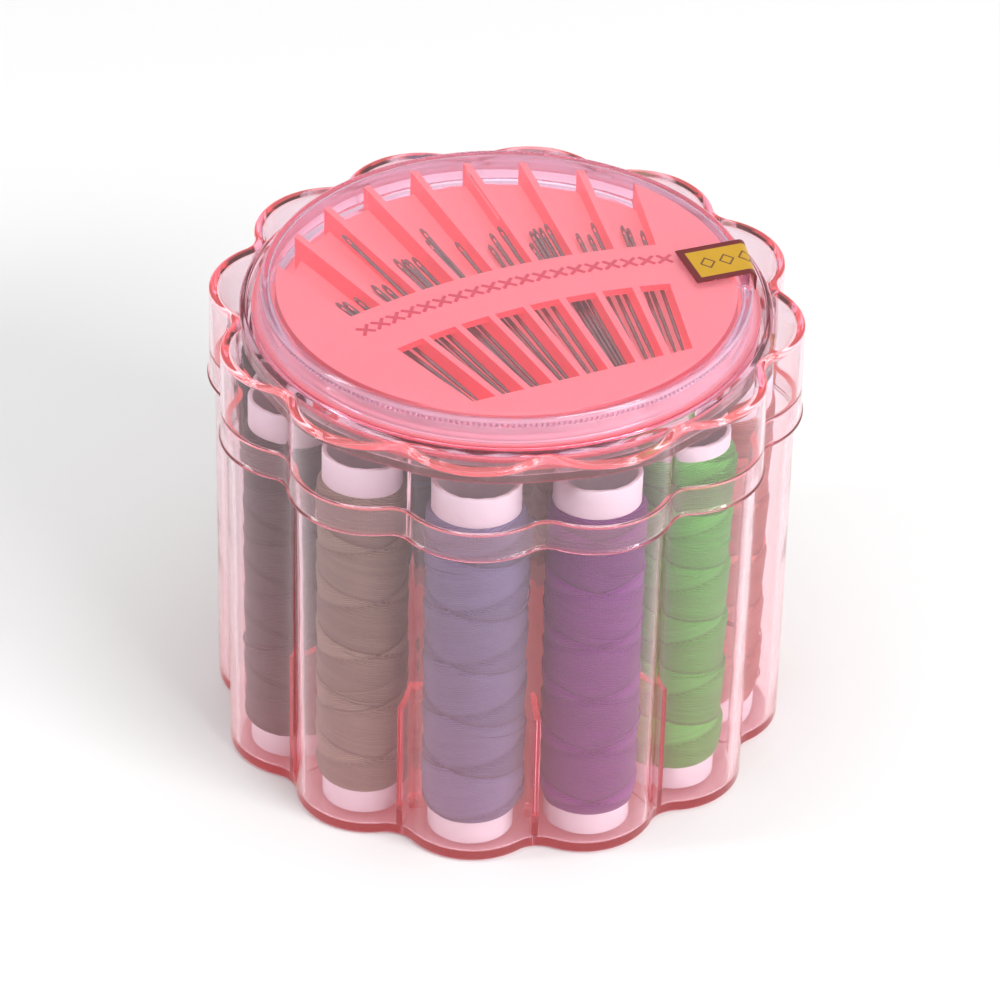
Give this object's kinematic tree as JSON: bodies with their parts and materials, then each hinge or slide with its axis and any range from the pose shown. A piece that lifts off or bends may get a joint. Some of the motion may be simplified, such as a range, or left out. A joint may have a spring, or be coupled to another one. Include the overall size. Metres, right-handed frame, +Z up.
{
  "type": "scalloped sewing box with needle compact and thread spools",
  "caption": "Clear scalloped sewing box: a slip-over lid with a round needle compact in its well, and a spool of thread standing in each lobe of the cup.",
  "frame": {"origin": "centre of the flat underside of the cup", "axes": "+Z up through the lid; -Y towards the front, through the middle of one lobe; +X to the right"},
  "size_m": [0.1006, 0.1006, 0.0856],
  "materials": {
    "clear_pink": "clear tinted, polished",
    "clear_lilac": "clear tinted, polished",
    "salmon_plastic": "satin moulded",
    "label_print": "printed paper label, dark red border",
    "needle_steel": "polished",
    "tube_card": "white paper card",
    "thread_lavender": "cross-wound spun thread",
    "thread_purple": "cross-wound spun thread",
    "thread_green": "cross-wound spun thread",
    "thread_coral": "cross-wound spun thread",
    "thread_orange": "cross-wound spun thread",
    "thread_yellow": "cross-wound spun thread",
    "thread_white": "cross-wound spun thread",
    "thread_blue": "cross-wound spun thread",
    "thread_red": "cross-wound spun thread",
    "thread_black": "cross-wound spun thread",
    "thread_plum": "cross-wound spun thread",
    "thread_taupe": "cross-wound spun thread"
  },
  "bodies": {
    "box": {"cup": "clear_pink"},
    "lid": {"lid": "clear_pink"},
    "compact": {"needle_disc": "salmon_plastic", "needle_01": "needle_steel", "needle_02": "needle_steel", "needle_03": "needle_steel", "needle_04": "needle_steel", "needle_05": "needle_steel", "needle_06": "needle_steel", "needle_07": "needle_steel", "needle_08": "needle_steel", "needle_09": "needle_steel", "needle_10": "needle_steel", "needle_11": "needle_steel", "needle_12": "needle_steel", "needle_13": "needle_steel", "needle_14": "needle_steel", "needle_15": "needle_steel", "needle_16": "needle_steel", "needle_17": "needle_steel", "needle_18": "needle_steel", "needle_19": "needle_steel", "needle_20": "needle_steel", "needle_21": "needle_steel", "needle_22": "needle_steel", "needle_23": "needle_steel", "needle_24": "needle_steel", "needle_25": "needle_steel", "needle_26": "needle_steel", "needle_27": "needle_steel", "needle_28": "needle_steel", "needle_29": "needle_steel", "needle_30": "needle_steel"},
    "cover": {"compact_cover": "clear_lilac", "seal_label": "label_print"},
    "spool_lavender": {"tube_lavender": "tube_card", "thread_lavender": "thread_lavender"},
    "spool_purple": {"tube_purple": "tube_card", "thread_purple": "thread_purple"},
    "spool_green": {"tube_green": "tube_card", "thread_green": "thread_green"},
    "spool_coral": {"tube_coral": "tube_card", "thread_coral": "thread_coral"},
    "spool_orange": {"tube_orange": "tube_card", "thread_orange": "thread_orange"},
    "spool_yellow": {"tube_yellow": "tube_card", "thread_yellow": "thread_yellow"},
    "spool_white": {"tube_white": "tube_card", "thread_white": "thread_white"},
    "spool_blue": {"tube_blue": "tube_card", "thread_blue": "thread_blue"},
    "spool_red": {"tube_red": "tube_card", "thread_red": "thread_red"},
    "spool_black": {"tube_black": "tube_card", "thread_black": "thread_black"},
    "spool_plum": {"tube_plum": "tube_card", "thread_plum": "thread_plum"},
    "spool_taupe": {"tube_taupe": "tube_card", "thread_taupe": "thread_taupe"}
  },
  "joints": [
    {"name": "lid_lift", "type": "slide", "parent": "box", "child": "lid", "axis": [0, 0, 1], "range_m": [0, 0.03]},
    {"name": "compact_lift", "type": "slide", "parent": "lid", "child": "compact", "axis": [0, 0, 1], "range_m": [0, 0.015]},
    {"name": "cover_turn", "type": "hinge", "parent": "compact", "child": "cover", "pos_m": [0, 0, 0.0853], "axis": [0, 0, 1], "continuous": true},
    {"name": "spool_lavender_turn", "type": "hinge", "parent": "box", "child": "spool_lavender", "pos_m": [0, -0.0384, 0.0017], "axis": [0, 0, 1], "continuous": true},
    {"name": "spool_purple_turn", "type": "hinge", "parent": "box", "child": "spool_purple", "pos_m": [0.0191, -0.03308, 0.0017], "axis": [0, 0, 1], "continuous": true},
    {"name": "spool_green_turn", "type": "hinge", "parent": "box", "child": "spool_green", "pos_m": [0.03222, -0.0186, 0.0017], "axis": [0, 0, 1], "continuous": true},
    {"name": "spool_coral_turn", "type": "hinge", "parent": "box", "child": "spool_coral", "pos_m": [0.0372, 0, 0.0017], "axis": [0, 0, 1], "continuous": true},
    {"name": "spool_orange_turn", "type": "hinge", "parent": "box", "child": "spool_orange", "pos_m": [0.03222, 0.0186, 0.0017], "axis": [0, 0, 1], "continuous": true},
    {"name": "spool_yellow_turn", "type": "hinge", "parent": "box", "child": "spool_yellow", "pos_m": [0.0186, 0.03222, 0.0017], "axis": [0, 0, 1], "continuous": true},
    {"name": "spool_white_turn", "type": "hinge", "parent": "box", "child": "spool_white", "pos_m": [0, 0.0372, 0.0017], "axis": [0, 0, 1], "continuous": true},
    {"name": "spool_blue_turn", "type": "hinge", "parent": "box", "child": "spool_blue", "pos_m": [-0.0186, 0.03222, 0.0017], "axis": [0, 0, 1], "continuous": true},
    {"name": "spool_red_turn", "type": "hinge", "parent": "box", "child": "spool_red", "pos_m": [-0.03222, 0.0186, 0.0017], "axis": [0, 0, 1], "continuous": true},
    {"name": "spool_black_turn", "type": "hinge", "parent": "box", "child": "spool_black", "pos_m": [-0.0372, 0, 0.0017], "axis": [0, 0, 1], "continuous": true},
    {"name": "spool_plum_turn", "type": "hinge", "parent": "box", "child": "spool_plum", "pos_m": [-0.03308, -0.0191, 0.0017], "axis": [0, 0, 1], "continuous": true},
    {"name": "spool_taupe_turn", "type": "hinge", "parent": "box", "child": "spool_taupe", "pos_m": [-0.0188, -0.03256, 0.0017], "axis": [0, 0, 1], "continuous": true}
  ]
}
